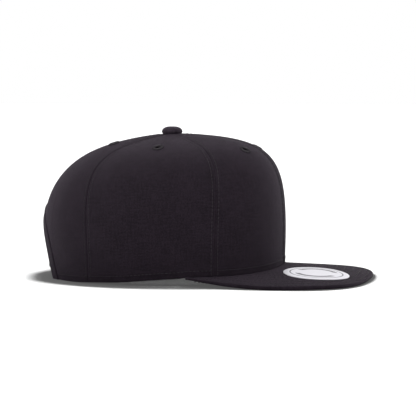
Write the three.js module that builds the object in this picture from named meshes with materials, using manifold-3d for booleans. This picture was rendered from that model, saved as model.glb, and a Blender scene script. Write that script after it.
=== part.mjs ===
// A six-panel snapback cap with a flat visor, standing by itself on its rim as on a table.
// Millimetres. +X points out over the visor, +Y to the wearer's left, +Z up. The floor is z = 0.
import * as THREE from 'three';
import * as BufferGeometryUtils from 'three/addons/utils/BufferGeometryUtils.js';
import Module from 'manifold-3d';

const wasm = await Module();
wasm.setup();

// Clearance between pieces that touch
const seatGap = 0.3;

// Crown: distances from the button's axis to the rim, and the height of its top
const crownFront = 91.6;
const crownBack = 101.2;
const crownHalfWidth = 80;
const crownHeight = 116.9;
const crownWall = 1.8;
const frontSquareness = 2.3;
const panelPuff = 0.9;
const crownHoleRadius = 3;

// Where the rim comes down to the floor, in degrees from the front
const rimDownAzimuth = 142;

// Course of each seam from the rim to the button: the azimuths of a curve's four handles
const seamCourses = [
  { name: 'centreFront', rimAzimuth: 0, lowAzimuth: 0, highAzimuth: 0, buttonAzimuth: 0 },
  { name: 'front', rimAzimuth: 54.5, lowAzimuth: 57, highAzimuth: 42, buttonAzimuth: 60 },
  { name: 'back', rimAzimuth: 127, lowAzimuth: 119, highAzimuth: 156, buttonAzimuth: 122 },
  { name: 'centreBack', rimAzimuth: 180, lowAzimuth: 180, highAzimuth: 180, buttonAzimuth: 180 },
];

// Profile of the crown from rim to top at three azimuths. Lean and roof are shares of the rim's
// radius, wall and droop are shares of the height above the rim.
const crownProfiles = [
  { azimuth: 0, lean: 0.03, wall: 0.85, roof: 0.955, droop: 0.032 },
  { azimuth: 90, lean: 0.14, wall: 0.8, roof: 0.72, droop: 0.09 },
  { azimuth: 180, lean: 0.25, wall: 0.85, roof: 0.485, droop: 0.05 },
];

// Visor: how far it reaches past the crown, its half-width, and how it arches and falls
const visorReach = 71.5;
const visorHalfWidth = 88;
const visorWidestX = 88;
const visorRootAzimuth = 70;
const visorRootStep = 2;
const visorSpread = 0.42;
const visorThickness = 3.2;
const visorCamber = 8.4;
const visorCamberPower = 1.67;
const visorFrontFlatness = 0.4;
const visorFall = 3.1;
const visorTipDrop = 4.8;
const visorTipPower = 4;
const visorCornerFullness = 0.76;
const visorEdgeRound = 1.4;
const visorEdgeBevel = 0.7;

// Opening at the back: an arch on two upright sides, with a tape round its edge
const openingHalfWidth = 38;
const openingHeight = 52;
const openingSpring = 14;
const openingBelow = 10;
const tapeWidth = 8;
const tapeThickness = 1.1;

// Sweatband and the two snap straps
const sweatbandHeight = 32;
const sweatbandThickness = 1.2;
const sweatbandLift = 0.8;
const sweatbandEndAzimuth = 152;
const sweatbandStepStartAzimuth = 115;
const sweatbandStepEndAzimuth = 142;
const strapHeight = 16;
const strapThickness = 1.3;
const strapLift = 1;
const strapSewnAzimuth = 147;
const pegPitch = 9;
const pegCount = 6;
const fastenedPegs = 4;
const pegRadius = 2;
const pegHead = 0.9;
const strapStepLength = 7;
const strapStepMargin = 2;
const strapEndFlat = 0.12;

// Button, eyelets and sticker
const buttonRadius = 7.9;
const buttonHeight = 5.2;
const buttonShankRadius = 2.3;
const buttonShankReach = 2;
const buttonFootShare = 0.94;
const buttonEdgeShare = 0.22;
const eyeletRadius = 4.6;
const eyeletHoleRadius = 1.8;
const eyeletThickness = 1.3;
const eyeletPunchLength = 16;
const stickerRadius = 26;
const stickerThickness = 0.4;
const stickerAhead = 32.5;
const stickerAside = 34;

// Where each panel's eyelet sits: azimuth in degrees and share of the way up the profile
const eyeletPlaces = [
  { name: 'front', azimuth: 22.5, share: 0.61 },
  { name: 'side', azimuth: 91.5, share: 0.71 },
  { name: 'back', azimuth: 158, share: 0.71 },
];

const clothColour = 0x242026;
const visorClothColour = 0x2b262c;
const threadColour = 0x1d1a1f;
const plasticColour = 0x1a191b;
const foilColour = 0xb9b6be;

const radians = THREE.MathUtils.degToRad;

// Solids

function toSolid(geometry) {
  const bare = geometry.clone();
  bare.deleteAttribute('normal');
  bare.deleteAttribute('uv');
  const merged = BufferGeometryUtils.mergeVertices(bare, 1e-4);
  return new wasm.Manifold(new wasm.Mesh({
    numProp: 3,
    vertProperties: merged.attributes.position.array,
    triVerts: new Uint32Array(merged.index.array),
  }));
}

function toGeometry(solid) {
  const mesh = solid.getMesh();
  const geometry = new THREE.BufferGeometry();
  geometry.setAttribute('position', new THREE.BufferAttribute(new Float32Array(mesh.vertProperties), 3));
  geometry.setIndex(new THREE.BufferAttribute(new Uint32Array(mesh.triVerts), 1));
  geometry.computeVertexNormals();
  return geometry;
}

// A closed sheet between two grids of points, face and back, each columns by rows.
function sheet(columns, rows, face, back) {
  const points = [];
  for (const side of [face, back]) {
    for (let i = 0; i <= columns; i += 1) {
      for (let j = 0; j <= rows; j += 1) {
        points.push(side(i / columns, j / rows, i, j));
      }
    }
  }
  const half = (columns + 1) * (rows + 1);
  const at = (side, i, j) => side * half + i * (rows + 1) + j;
  const triangles = [];
  const quad = (a, b, c, d) => triangles.push(a, b, c, a, c, d);
  for (let i = 0; i < columns; i += 1) {
    for (let j = 0; j < rows; j += 1) {
      quad(at(0, i, j), at(0, i + 1, j), at(0, i + 1, j + 1), at(0, i, j + 1));
      quad(at(1, i, j), at(1, i, j + 1), at(1, i + 1, j + 1), at(1, i + 1, j));
    }
    quad(at(0, i, 0), at(1, i, 0), at(1, i + 1, 0), at(0, i + 1, 0));
    quad(at(0, i, rows), at(0, i + 1, rows), at(1, i + 1, rows), at(1, i, rows));
  }
  for (let j = 0; j < rows; j += 1) {
    quad(at(0, 0, j), at(0, 0, j + 1), at(1, 0, j + 1), at(1, 0, j));
    quad(at(0, columns, j), at(1, columns, j), at(1, columns, j + 1), at(0, columns, j + 1));
  }
  let volume = 0;
  for (let k = 0; k < triangles.length; k += 3) {
    const [a, b, c] = [0, 1, 2].map((n) => points[triangles[k + n]]);
    volume += a.dot(b.clone().cross(c));
  }
  if (volume < 0) {
    triangles.reverse();
  }
  const geometry = new THREE.BufferGeometry().setFromPoints(points);
  geometry.setIndex(triangles);
  geometry.computeVertexNormals();
  return geometry;
}

// Crown surface

// Value of one column of the profile table at an azimuth, smooth all the way round.
function profileValue(column, azimuth) {
  const [front, side, back] = crownProfiles.map((row) => row[column]);
  const mean = (front + back) / 4 + side / 2;
  const swing = (front - back) / 2;
  const pinch = (front + back) / 4 - side / 2;
  return mean + swing * Math.cos(radians(azimuth)) + pinch * Math.cos(2 * radians(azimuth));
}

function rimRadius(azimuth) {
  const ahead = Math.cos(radians(azimuth));
  const aside = Math.abs(Math.sin(radians(azimuth)));
  const squareness = 2 + (frontSquareness - 2) * Math.max(0, ahead);
  const length = ahead > 0 ? crownFront : crownBack;
  const sum = (Math.abs(ahead) / length) ** squareness + (aside / crownHalfWidth) ** squareness;
  return sum ** (-1 / squareness);
}

function polar(radius, azimuth, height) {
  const angle = radians(azimuth);
  return new THREE.Vector3(radius * Math.cos(angle), radius * Math.sin(angle), height);
}

// Shape of the visor's top before it is lowered on to the floor. It arches from side to side, less so
// towards the front, and turns down at the tip.
function visorShape(x, y) {
  const out = (x - crownFront) / visorReach;
  const forward = Math.max(0, out);
  const arch = visorCamber * Math.abs(y / visorHalfWidth) ** visorCamberPower;
  const fall = visorFall * out + visorTipDrop * forward ** visorTipPower;
  return -fall - arch * (1 - visorFrontFlatness * forward);
}

const visorOutline = makeVisorOutline();
const visorRows = 8;
const visorLift = visorThickness - lowestVisorShape();

function visorTop(x, y) {
  return visorLift + visorShape(x, y);
}

function makeVisorOutline() {
  const root = polar(rimRadius(visorRootAzimuth) + visorRootStep, visorRootAzimuth, 0);
  const widest = new THREE.Vector3(visorWidestX, visorHalfWidth, 0);
  const tip = new THREE.Vector3(crownFront + visorReach, 0, 0);
  const run = (widest.x - root.x) / 3;
  const spread = (widest.y - root.y) * visorSpread;
  const side = new THREE.CubicBezierCurve3(
    root,
    root.clone().add(new THREE.Vector3(run, spread, 0)),
    widest.clone().add(new THREE.Vector3(-run, 0, 0)),
    widest,
  );
  const corner = new THREE.CubicBezierCurve3(
    widest,
    widest.clone().add(new THREE.Vector3(visorCornerFullness * (tip.x - widest.x), 0, 0)),
    tip.clone().add(new THREE.Vector3(0, visorCornerFullness * widest.y, 0)),
    tip,
  );
  const path = new THREE.CurvePath();
  path.add(side);
  path.add(corner);
  return path;
}

// Point of the visor's plan. Across runs from 1 at the right root to -1 at the left one.
function visorPlan(across, out) {
  const azimuth = visorRootAzimuth * Math.abs(across);
  const outer = visorOutline.getPointAt(1 - Math.abs(across));
  const inner = polar(rimRadius(azimuth) - crownWall, azimuth, 0);
  const point = inner.lerp(outer, out);
  point.y *= Math.sign(across);
  return point;
}

// Share of the way out for each row of the visor. The last row is the rounded edge.
function visorRowShare(across, row) {
  if (row === visorRows) {
    return 1;
  }
  const width = visorPlan(across, 0).distanceTo(visorPlan(across, 1));
  return (1 - visorEdgeRound / width) * row / (visorRows - 1);
}

function lowestVisorShape() {
  let lowest = Infinity;
  for (let step = -40; step <= 40; step += 1) {
    const across = step / 40;
    const point = visorPlan(across, visorRowShare(across, visorRows - 1));
    lowest = Math.min(lowest, visorShape(point.x, point.y));
  }
  return lowest;
}

// Height of the crown's bottom edge: over the visor in front, down to the floor behind.
function rimHeight(azimuth, inset) {
  const turn = Math.abs(azimuth > 180 ? 360 - azimuth : azimuth);
  const held = Math.min(turn, visorRootAzimuth);
  const onVisor = polar(rimRadius(held) - inset, held, 0);
  const down = THREE.MathUtils.smoothstep(turn, visorRootAzimuth, rimDownAzimuth);
  return (visorTop(onVisor.x, onVisor.y) + seatGap) * (1 - down);
}

function crownProfile(azimuth, inset) {
  const radius = rimRadius(azimuth) - inset;
  const bottom = rimHeight(azimuth, inset);
  const top = crownHeight - inset;
  const height = top - bottom;
  return new THREE.CubicBezierCurve(
    new THREE.Vector2(radius, bottom),
    new THREE.Vector2(
      radius * (1 + profileValue('lean', azimuth)),
      bottom + profileValue('wall', azimuth) * height,
    ),
    new THREE.Vector2(
      crownHoleRadius + profileValue('roof', azimuth) * (radius - crownHoleRadius),
      top - profileValue('droop', azimuth) * height,
    ),
    new THREE.Vector2(crownHoleRadius, top),
  );
}

function crownPoint(azimuth, share, inset) {
  const onProfile = crownProfile(azimuth, inset).getPoint(share);
  return polar(onProfile.x, azimuth, onProfile.y);
}

// Point of the crown's surface at a given height, for what is sewn along the rim.
function crownPointAtHeight(azimuth, height, inset) {
  const profile = crownProfile(azimuth, inset);
  let low = 0;
  let high = 0.6;
  for (let step = 0; step < 30; step += 1) {
    const middle = (low + high) / 2;
    if (profile.getPoint(middle).y < height) {
      low = middle;
    } else {
      high = middle;
    }
  }
  return polar(profile.getPoint(low).x, azimuth, height);
}

function crownNormal(azimuth, share) {
  const step = 0.01;
  const up = crownPoint(azimuth, share + step, 0).sub(crownPoint(azimuth, share - step, 0));
  const round = crownPoint(azimuth + 1, share, 0).sub(crownPoint(azimuth - 1, share, 0));
  return round.cross(up).normalize();
}

const panelColumns = 9;
const panelRows = 16;
const visorColumns = 44;
const sweatbandColumns = 44;
const sweatbandRows = 3;
const strapColumns = 20;
const strapRows = 2;

// Azimuth of a seam at a share of the way up the profile.
function seamAzimuth(name, up) {
  const seam = seamCourses.find((row) => row.name === name);
  const left = 1 - up;
  const lower = seam.rimAzimuth * left ** 3 + 3 * seam.lowAzimuth * left ** 2 * up;
  return lower + 3 * seam.highAzimuth * left * up ** 2 + seam.buttonAzimuth * up ** 3;
}

// How far a panel puffs out between its seams, and from its bottom edge to the button.
function puffAt(across, up) {
  return panelPuff * Math.sin(Math.PI * across) * Math.sqrt(Math.sin(Math.PI * up));
}

function puffedPoint(azimuth, across, up, inset) {
  const point = crownPoint(azimuth, up, inset);
  const outward = crownPoint(azimuth, up, inset - 1).sub(point);
  return point.addScaledVector(outward, puffAt(across, up));
}

// One panel between two seams, drawn back from each by half the seam's gap and puffed between them.
function makePanel(fromSeam, toSeam, side) {
  const surface = (inset) => (across, up) => {
    const from = side * seamAzimuth(fromSeam, up);
    const to = side * seamAzimuth(toSeam, up);
    const inward = polar(side * seatGap / 2, from + 90, 0);
    const backward = polar(-side * seatGap / 2, to + 90, 0);
    const azimuth = THREE.MathUtils.lerp(from, to, across);
    const point = puffedPoint(azimuth, across, up, inset);
    return point.addScaledVector(inward, 1 - across).addScaledVector(backward, across);
  };
  return toSolid(sheet(panelColumns, panelRows, surface(0), surface(crownWall)));
}

// Back opening

// Outline of the opening, grown outwards by a distance. Its x is the cap's y, its y is the height.
function openingOutline(grown, target) {
  const halfWidth = openingHalfWidth + grown;
  const rise = openingHeight - openingSpring + grown;
  target.moveTo(-halfWidth, -openingBelow);
  target.lineTo(halfWidth, -openingBelow);
  target.lineTo(halfWidth, openingSpring);
  target.absellipse(0, openingSpring, halfWidth, rise, 0, Math.PI, false, 0);
  target.lineTo(-halfWidth, -openingBelow);
  return target;
}

// The outline carried through the back of the crown, as a solid.
function openingPrism(grown) {
  const length = crownBack * 0.9;
  const geometry = new THREE.ExtrudeGeometry(openingOutline(grown, new THREE.Shape()), {
    depth: length,
    bevelEnabled: false,
    curveSegments: 20,
  });
  const alongX = new THREE.Matrix4().makeBasis(
    new THREE.Vector3(0, 1, 0),
    new THREE.Vector3(0, 0, 1),
    new THREE.Vector3(1, 0, 0),
  );
  geometry.applyMatrix4(alongX);
  geometry.translate(-crownBack - length / 2, 0, 0);
  return toSolid(geometry);
}

// A stretch of the crown's wall between two insets, on the same grid as the back panels.
function backShell(outerInset, innerInset) {
  const surface = (inset) => (across, up) => {
    const seam = seamAzimuth('back', up);
    const azimuth = THREE.MathUtils.lerp(seam, 360 - seam, across);
    const panelAcross = across < 0.5 ? across * 2 : across * 2 - 1;
    return puffedPoint(azimuth, panelAcross, up, inset);
  };
  return toSolid(sheet(panelColumns * 2, panelRows, surface(outerInset), surface(innerInset)));
}

// Tape over the edge of the opening: a flange on the outside and a lip round the cut edge.
function makeOpeningBinding() {
  const blank = backShell(-seatGap - tapeThickness, crownWall);
  const ring = openingPrism(tapeWidth).subtract(openingPrism(-seatGap - tapeThickness));
  const panels = backShell(-seatGap, crownWall + 2).subtract(openingPrism(-seatGap));
  return blank.intersect(ring).subtract(panels);
}

// Sweatband and straps

const strapInset = crownWall + seatGap;

function sweatbandInset(azimuth) {
  const turn = Math.abs(azimuth);
  const overStrap = THREE.MathUtils.smoothstep(turn, sweatbandStepStartAzimuth, sweatbandStepEndAzimuth);
  return strapInset + overStrap * (strapThickness + seatGap);
}

function makeSweatband() {
  const surface = (extra) => (across, up) => {
    const azimuth = THREE.MathUtils.lerp(-sweatbandEndAzimuth, sweatbandEndAzimuth, across);
    const inset = sweatbandInset(azimuth) + extra;
    const height = rimHeight(azimuth, inset) + sweatbandLift + up * sweatbandHeight;
    return crownPointAtHeight(azimuth, height, inset);
  };
  return toSolid(sheet(sweatbandColumns, sweatbandRows, surface(0), surface(sweatbandThickness)));
}

const pegStep = THREE.MathUtils.radToDeg(pegPitch / crownBack);
const strapEndMargin = THREE.MathUtils.radToDeg((pegPitch - pegRadius - 2 * seatGap) / crownBack);

// A strap from its sewn end to a rounded free end. Side is 1 on the left and -1 on the right.
function strapPlate(side, freeAzimuth, insetAt) {
  const surface = (extra) => (along, up) => {
    const azimuth = THREE.MathUtils.lerp(strapSewnAzimuth, freeAzimuth, along);
    const toEnd = (freeAzimuth - azimuth) / strapEndMargin;
    const narrowing = Math.sqrt(Math.max(strapEndFlat, 1 - Math.max(0, 1 - toEnd) ** 2));
    const height = strapLift + strapHeight * (0.5 + (up - 0.5) * narrowing);
    const point = crownPointAtHeight(azimuth, height, insetAt(azimuth) + extra);
    point.y *= side;
    return point;
  };
  return toSolid(sheet(strapColumns, strapRows, surface(0), surface(strapThickness)));
}

// A round peg or hole through a strap, pointing out of the crown.
function strapPin(side, azimuth, radius, insetFrom, insetTo) {
  const height = strapLift + strapHeight / 2;
  const inner = crownPointAtHeight(azimuth * side, height, insetFrom);
  const outer = crownPointAtHeight(azimuth * side, height, insetTo);
  const length = inner.distanceTo(outer);
  const geometry = new THREE.CylinderGeometry(radius, radius, length, 14);
  geometry.applyQuaternion(new THREE.Quaternion().setFromUnitVectors(
    new THREE.Vector3(0, 1, 0),
    outer.clone().sub(inner).normalize(),
  ));
  const middle = inner.lerp(outer, 0.5);
  geometry.translate(middle.x, middle.y, middle.z);
  return toSolid(geometry);
}

const fastenedReach = (fastenedPegs - 1) / 2 * pegStep;
const freeEndAzimuth = 180 + fastenedReach + strapEndMargin;

// Where peg or hole number i sits, counted from a strap's free end, seen from that strap's own side.
const pinAzimuth = (i) => 180 + fastenedReach - i * pegStep;

// The strap with pegs lies inside the other one where they overlap.
function pegStrapInset(azimuth) {
  const stepEnd = 360 - freeEndAzimuth - strapStepMargin;
  const under = THREE.MathUtils.smoothstep(azimuth, stepEnd - strapStepLength, stepEnd);
  return strapInset + under * (strapThickness + seatGap);
}

function makePegStrap() {
  let strap = strapPlate(1, freeEndAzimuth, pegStrapInset);
  for (let i = 0; i < pegCount; i += 1) {
    const azimuth = pinAzimuth(i);
    const root = pegStrapInset(azimuth) + strapThickness / 2;
    const tip = pegStrapInset(azimuth) - strapThickness - seatGap - pegHead;
    strap = strap.add(strapPin(1, azimuth, pegRadius, root, tip));
  }
  return strap;
}

function makeHoleStrap() {
  let strap = strapPlate(-1, freeEndAzimuth, () => strapInset);
  for (let i = 0; i < pegCount; i += 1) {
    const hole = strapPin(-1, pinAzimuth(i), pegRadius + seatGap, 2 * strapInset, 0);
    strap = strap.subtract(hole);
  }
  return strap;
}

// Visor and sticker

function makeVisor() {
  const surface = (below) => (along, out, column, row) => {
    const across = 1 - 2 * along;
    const side = Math.abs(across) < 1e-9 ? 0 : across;
    const point = side === 0
      ? visorPlan(1e-9, visorRowShare(1e-9, row))
      : visorPlan(side, visorRowShare(side, row));
    const rounding = row === visorRows ? visorEdgeRound * visorEdgeBevel : 0;
    const depth = below ? visorThickness - rounding : rounding;
    return point.setZ(visorTop(point.x, point.y) - depth);
  };
  return toSolid(sheet(visorColumns, visorRows, surface(false), surface(true)));
}

function makeSticker() {
  const centreX = crownFront + stickerAhead;
  const rings = 4;
  const surface = (lift) => (around, out) => {
    const radius = stickerRadius * (0.02 + 0.98 * out);
    const angle = 2 * Math.PI * around;
    const x = centreX + radius * Math.cos(angle);
    const y = -stickerAside + radius * Math.sin(angle);
    return new THREE.Vector3(x, y, visorTop(x, y) + lift);
  };
  return disc(36, rings, surface(seatGap + stickerThickness), surface(seatGap));
}

// A closed disc from two fans of rings, without a hole in the middle.
function disc(spokes, rings, face, back) {
  const points = [face(0, 0), back(0, 0)];
  for (const side of [face, back]) {
    for (let i = 0; i < spokes; i += 1) {
      for (let j = 1; j <= rings; j += 1) {
        points.push(side(i / spokes, j / rings));
      }
    }
  }
  const at = (side, i, j) => 2 + side * spokes * rings + (i % spokes) * rings + j - 1;
  const triangles = [];
  for (let i = 0; i < spokes; i += 1) {
    triangles.push(0, at(0, i, 1), at(0, i + 1, 1));
    triangles.push(1, at(1, i + 1, 1), at(1, i, 1));
    for (let j = 1; j < rings; j += 1) {
      triangles.push(at(0, i, j), at(0, i, j + 1), at(0, i + 1, j + 1));
      triangles.push(at(0, i, j), at(0, i + 1, j + 1), at(0, i + 1, j));
      triangles.push(at(1, i, j), at(1, i + 1, j + 1), at(1, i, j + 1));
      triangles.push(at(1, i, j), at(1, i + 1, j), at(1, i + 1, j + 1));
    }
    triangles.push(at(0, i, rings), at(1, i, rings), at(1, i + 1, rings));
    triangles.push(at(0, i, rings), at(1, i + 1, rings), at(0, i + 1, rings));
  }
  const geometry = new THREE.BufferGeometry().setFromPoints(points);
  geometry.setIndex(triangles);
  return toSolid(geometry);
}

// Button and eyelets

function makeButton() {
  const base = crownHeight + seatGap;
  const shankEnd = base - crownWall - buttonShankReach;
  const outline = [new THREE.Vector2(0, shankEnd)];
  outline.push(new THREE.Vector2(buttonShankRadius, shankEnd));
  outline.push(new THREE.Vector2(buttonShankRadius, base));
  outline.push(new THREE.Vector2(buttonRadius * buttonFootShare, base));
  const edge = buttonHeight * buttonEdgeShare;
  const dome = new THREE.EllipseCurve(0, base + edge, buttonRadius, buttonHeight - edge, 0, Math.PI / 2);
  outline.push(...dome.getPoints(7));
  const geometry = new THREE.LatheGeometry(outline, 24);
  geometry.rotateX(Math.PI / 2);
  return toSolid(geometry);
}

function eyeletFrame(place, side) {
  const centre = puffedPoint(place.azimuth, 0.5, place.share, 0);
  const normal = crownNormal(place.azimuth, place.share);
  centre.y *= side;
  normal.y *= side;
  const turn = new THREE.Quaternion().setFromUnitVectors(new THREE.Vector3(0, 1, 0), normal);
  return new THREE.Matrix4().compose(centre, turn, new THREE.Vector3(1, 1, 1));
}

function makeEyelet(place, side) {
  const middle = (eyeletRadius + eyeletHoleRadius) / 2;
  const section = new THREE.EllipseCurve(
    middle,
    seatGap + eyeletThickness / 2,
    (eyeletRadius - eyeletHoleRadius) / 2,
    eyeletThickness / 2,
  );
  const geometry = new THREE.LatheGeometry(section.getPoints(6), 18);
  geometry.applyMatrix4(eyeletFrame(place, side));
  return toSolid(geometry);
}

function eyeletHole(place, side) {
  const geometry = new THREE.CylinderGeometry(eyeletHoleRadius, eyeletHoleRadius, eyeletPunchLength, 12);
  geometry.applyMatrix4(eyeletFrame(place, side));
  return toSolid(geometry);
}

// The cap

const finishes = {
  cloth: { color: clothColour, roughness: 0.95 },
  visorCloth: { color: visorClothColour, roughness: 0.9 },
  thread: { color: threadColour, roughness: 0.8 },
  plastic: { color: plasticColour, roughness: 0.4 },
  foil: { color: foilColour, roughness: 0.3, metalness: 0.8 },
};

const cap = new THREE.Group();

function addPiece(name, solid, finish) {
  const mesh = new THREE.Mesh(toGeometry(solid), new THREE.MeshStandardMaterial(finishes[finish]));
  mesh.name = name;
  cap.add(mesh);
}

const panelSpans = [
  { name: 'front', from: 'centreFront', to: 'front' },
  { name: 'side', from: 'front', to: 'back' },
  { name: 'back', from: 'back', to: 'centreBack' },
];
const sides = [
  { name: 'left', sign: 1 },
  { name: 'right', sign: -1 },
];

for (const side of sides) {
  for (const panel of panelSpans) {
    const place = eyeletPlaces.find((row) => row.name === panel.name);
    let solid = makePanel(panel.from, panel.to, side.sign);
    solid = solid.subtract(eyeletHole(place, side.sign));
    if (panel.name === 'back') {
      solid = solid.subtract(openingPrism(0));
    }
    addPiece(`${panel.name}_panel_${side.name}`, solid, 'cloth');
    addPiece(`${panel.name}_eyelet_${side.name}`, makeEyelet(place, side.sign), 'thread');
  }
}
addPiece('crown_button', makeButton(), 'cloth');
addPiece('visor', makeVisor(), 'visorCloth');
addPiece('visor_sticker', makeSticker(), 'foil');
addPiece('opening_binding', makeOpeningBinding(), 'cloth');
addPiece('sweatband', makeSweatband(), 'cloth');
addPiece('snap_strap_left', makePegStrap(), 'plastic');
addPiece('snap_strap_right', makeHoleStrap(), 'plastic');

// The origin is under the middle of the cap's box, on the floor.
const box = new THREE.Box3().setFromObject(cap);
cap.position.set(-(box.min.x + box.max.x) / 2, 0, -box.min.z);

export default cap;
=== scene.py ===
import math

import bpy
from mathutils import Matrix, Vector, noise


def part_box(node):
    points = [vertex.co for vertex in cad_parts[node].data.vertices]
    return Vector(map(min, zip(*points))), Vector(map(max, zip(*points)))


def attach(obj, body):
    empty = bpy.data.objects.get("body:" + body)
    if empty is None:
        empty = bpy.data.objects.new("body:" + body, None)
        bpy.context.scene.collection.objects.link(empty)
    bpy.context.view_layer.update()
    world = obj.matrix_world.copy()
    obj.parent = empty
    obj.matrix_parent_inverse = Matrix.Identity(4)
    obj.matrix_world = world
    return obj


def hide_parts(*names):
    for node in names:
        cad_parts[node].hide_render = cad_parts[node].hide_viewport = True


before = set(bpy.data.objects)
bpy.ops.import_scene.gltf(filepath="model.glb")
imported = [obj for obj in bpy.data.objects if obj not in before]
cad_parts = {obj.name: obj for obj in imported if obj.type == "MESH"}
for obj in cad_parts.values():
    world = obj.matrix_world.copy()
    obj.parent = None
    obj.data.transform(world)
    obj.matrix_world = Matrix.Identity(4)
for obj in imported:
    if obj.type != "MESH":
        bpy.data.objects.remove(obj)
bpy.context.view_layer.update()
print("frame loaded:", len(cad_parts), "nodes")

# All shaping below is in millimetres from the button's axis, and place() turns it into the frame.
millimetre = 0.001
buttonLow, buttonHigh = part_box("crown_button")
axisX = (buttonLow.x + buttonHigh.x) / 2


def place(point):
    return Vector((axisX + point.x * millimetre, point.y * millimetre, point.z * millimetre))


sideNames = {1: "left", -1: "right"}


def deselectAll():
    if bpy.context.mode != "OBJECT":
        bpy.ops.object.mode_set(mode="OBJECT")
    bpy.ops.object.select_all(action="DESELECT")


def pick(piece):
    deselectAll()
    piece.select_set(True)
    bpy.context.view_layer.objects.active = piece


def applyModifier(piece, kind, **settings):
    pick(piece)
    modifier = piece.modifiers.new(kind.lower(), kind)
    for name, value in settings.items():
        setattr(modifier, name, value)
    bpy.ops.object.modifier_apply(modifier=modifier.name)


def smoothstep(value, low, high):
    share = min(1.0, max(0.0, (value - low) / (high - low)))
    return share * share * (3 - 2 * share)


def dress(piece, material, replaced=(), smoothAngle=40):
    pick(piece)
    bpy.ops.object.transform_apply(location=True, rotation=True, scale=True)
    bpy.ops.object.shade_smooth_by_angle(angle=math.radians(smoothAngle))
    piece.data.materials.clear()
    piece.data.materials.append(material)
    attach(piece, "root")
    if replaced:
        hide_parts(*replaced)


# Shader helpers

def addNode(tree, kind, **settings):
    node = tree.nodes.new(kind)
    for name, value in settings.items():
        setattr(node, name, value)
    return node


def mathNode(tree, operation, first, second=None):
    node = addNode(tree, "ShaderNodeMath", operation=operation)
    for socket, value in zip(node.inputs, (first, second)):
        if value is None:
            continue
        if isinstance(value, (int, float)):
            socket.default_value = value
        else:
            tree.links.new(value, socket)
    return node.outputs[0]


def scaled(tree, value, factor, offset):
    return mathNode(tree, "ADD", mathNode(tree, "MULTIPLY", value, factor), offset)


def newGroup(name, inputs, outputs):
    group = bpy.data.node_groups.new(name, "ShaderNodeTree")
    for label, kind, value in inputs:
        socket = group.interface.new_socket(name=label, in_out="INPUT", socket_type=kind)
        if value is not None:
            socket.default_value = value
    for label, kind in outputs:
        group.interface.new_socket(name=label, in_out="OUTPUT", socket_type=kind)
    return group, addNode(group, "NodeGroupInput").outputs, addNode(group, "NodeGroupOutput").inputs


def noiseIn(tree, vector, scale, detail=2.0):
    texture = addNode(tree, "ShaderNodeTexNoise")
    texture.inputs["Scale"].default_value = scale
    texture.inputs["Detail"].default_value = detail
    tree.links.new(vector, texture.inputs["Vector"])
    return texture.outputs["Fac"]


def mixNode(tree, factor, first, second):
    mix = addNode(tree, "ShaderNodeMix", data_type="RGBA")
    tree.links.new(factor, mix.inputs["Factor"])
    mix.inputs["A"].default_value = (*first, 1)
    mix.inputs["B"].default_value = (*second, 1)
    return mix.outputs["Result"]


def addBump(tree, shader, height, strength, distance):
    bump = addNode(tree, "ShaderNodeBump")
    bump.inputs["Strength"].default_value = strength
    bump.inputs["Distance"].default_value = distance
    tree.links.new(height, bump.inputs["Height"])
    tree.links.new(bump.outputs["Normal"], shader.inputs["Normal"])


# Twill: diagonal ribs crossed by single threads, with lint, slubs and slow changes of tone
weaveForm = {
    "slant": 2.4, "ribHeight": 0.5, "threadHeight": 0.3, "bumpDepth": 0.00025, "lint": 900,
    "lintTone": 2.6, "patches": 45, "patchTone": 0.9, "slubs": (700, 120),
    "smoothest": 0.72, "roughening": 0.2,
}


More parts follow.
